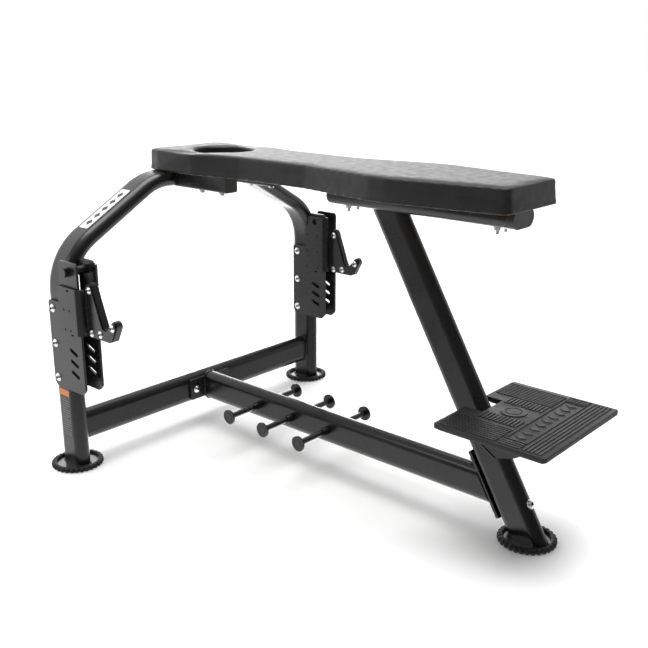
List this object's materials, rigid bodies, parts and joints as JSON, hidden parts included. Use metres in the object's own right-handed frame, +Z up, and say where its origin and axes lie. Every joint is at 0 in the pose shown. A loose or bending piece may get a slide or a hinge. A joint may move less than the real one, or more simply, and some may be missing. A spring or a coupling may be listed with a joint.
{
  "type": "prone row bench",
  "caption": "Tall flat bench on a bent oval-tube frame, with a face hole, a foot plate, band pegs and a pair of bar hooks that slide up and down its front legs.",
  "frame": {"origin": "on the floor, under the middle of the bench's footprint", "axes": "+X from the face-hole end towards the foot plate, +Y to the bench's other side, +Z up; the bench is symmetric across the XZ plane"},
  "size_m": [1.5139, 1.228, 0.953],
  "materials": {
    "frame_paint": "satin black powder coat",
    "plate_paint": "satin black powder coat",
    "carriage_paint": "satin black powder coat",
    "hook_paint": "satin dark grey powder coat",
    "zinc": "zinc plated",
    "black_bolt": "black oxide",
    "end_cap": "matt black moulded plastic",
    "board": "raw plywood",
    "vinyl": "black grained vinyl",
    "peg": "satin black powder coat",
    "tread_rubber": "ribbed black rubber",
    "foot_rubber": "matt black rubber",
    "base_steel": "smooth grey plated steel",
    "sleeve": "matt black rubber",
    "liner": "matt black low-friction plastic",
    "hook_core": "matt black tough plastic"
  },
  "bodies": {
    "frame": {"front_arch": "frame_paint", "cross_beam": "frame_paint", "main_beam": "frame_paint", "front_flange_plate": "plate_paint", "front_flange_bolts": "zinc", "rear_flange_plate": "plate_paint", "rear_flange_bolts": "zinc", "rear_leg": "frame_paint", "rear_rail": "frame_paint", "left_head_rail": "frame_paint", "right_head_rail": "frame_paint", "rear_rail_caps": "end_cap", "head_rail_caps": "end_cap", "pad_board": "board", "pad_cushion": "vinyl", "head_pad_bolts": "zinc", "rear_pad_bolts": "zinc", "band_peg_front": "peg", "band_peg_middle": "peg", "band_peg_rear": "peg", "peg_collars": "peg", "tread_pad": "tread_rubber", "tread_base_plate": "plate_paint", "tread_gusset_left": "plate_paint", "tread_gusset_right": "plate_paint", "tread_brace": "plate_paint", "tread_screws": "zinc", "left_foot_pad": "foot_rubber", "right_foot_pad": "foot_rubber", "rear_foot_pad": "foot_rubber", "left_foot_base": "base_steel", "right_foot_base": "base_steel", "rear_foot_base": "base_steel", "left_outer_guide_plate": "plate_paint", "left_inner_guide_plate": "plate_paint", "right_outer_guide_plate": "plate_paint", "right_inner_guide_plate": "plate_paint", "left_guide_bolts": "zinc", "right_guide_bolts": "zinc", "left_stop_bolt": "black_bolt", "right_stop_bolt": "black_bolt", "left_stop_sleeve": "sleeve", "right_stop_sleeve": "sleeve"},
    "left_hook": {"left_carriage": "carriage_paint", "left_slide_liners": "liner", "left_liner_screws": "black_bolt", "left_hook_cheeks": "hook_paint", "left_hook_core": "hook_core", "left_hook_bolts": "zinc"},
    "right_hook": {"right_carriage": "carriage_paint", "right_slide_liners": "liner", "right_liner_screws": "black_bolt", "right_hook_cheeks": "hook_paint", "right_hook_core": "hook_core", "right_hook_bolts": "zinc"}
  },
  "joints": [
    {"name": "left_hook_slide", "type": "slide", "parent": "frame", "child": "left_hook", "axis": [0, 0, 1], "range_m": [-0.14, 0]},
    {"name": "right_hook_slide", "type": "slide", "parent": "frame", "child": "right_hook", "axis": [0, 0, 1], "range_m": [-0.14, 0]}
  ]
}
